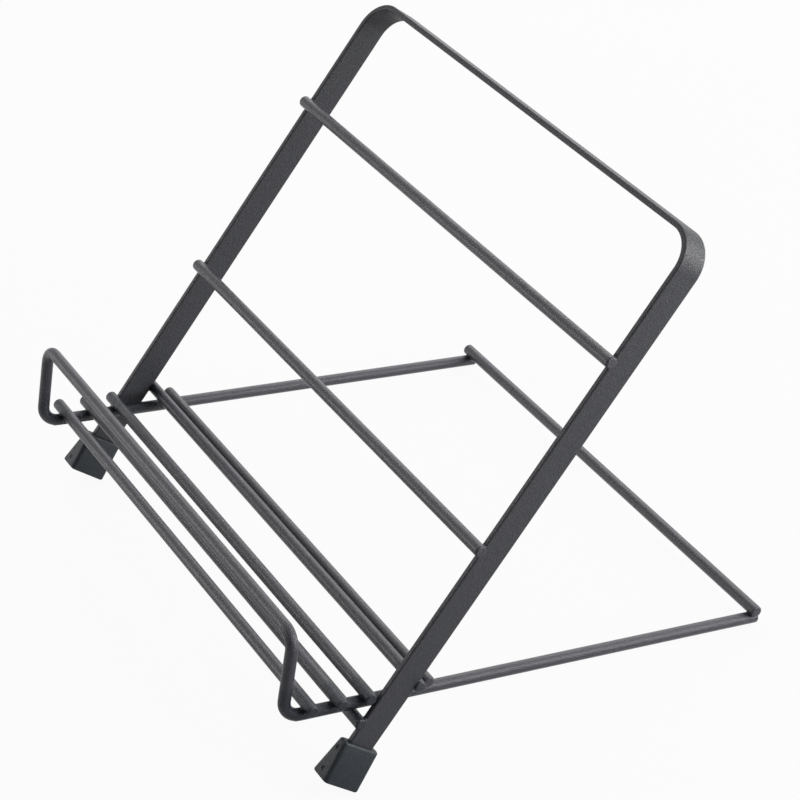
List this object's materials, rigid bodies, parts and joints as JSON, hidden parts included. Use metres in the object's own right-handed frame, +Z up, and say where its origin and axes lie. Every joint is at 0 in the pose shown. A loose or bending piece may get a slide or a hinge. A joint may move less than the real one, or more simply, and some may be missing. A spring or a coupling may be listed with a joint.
{
  "type": "folding wire book stand",
  "caption": "Folding book stand: a leaning flat-bar frame with wire crossbars, crossed by a low wire base with a ledge and a raised lip.",
  "frame": {"origin": "on the table, under the middle of the stand's outline from front to back and from side to side", "axes": "+X to the right hand of a reader in front of the stand, +Y to the back, +Z up"},
  "size_m": [0.2582, 0.2293, 0.2072],
  "materials": {
    "powder_coat": "fine-textured satin powder coat",
    "foot_plastic": "matte moulded"
  },
  "bodies": {
    "frame": {"back_frame": "powder_coat", "upper_crossbar": "powder_coat", "lower_crossbar": "powder_coat", "front_catch_rod": "powder_coat", "rear_catch_rod": "powder_coat", "left_foot": "foot_plastic", "right_foot": "foot_plastic"},
    "base": {"base_wire": "powder_coat", "front_ledge_wire": "powder_coat", "middle_ledge_wire": "powder_coat", "rear_ledge_wire": "powder_coat", "stop_wire": "powder_coat", "tail_wire": "powder_coat"}
  },
  "joints": [
    {"name": "base_fold", "type": "hinge", "parent": "frame", "child": "base", "pos_m": [0, -0.0646, 0.04089], "axis": [-1, 0, 0], "range_deg": [0, 85]}
  ]
}
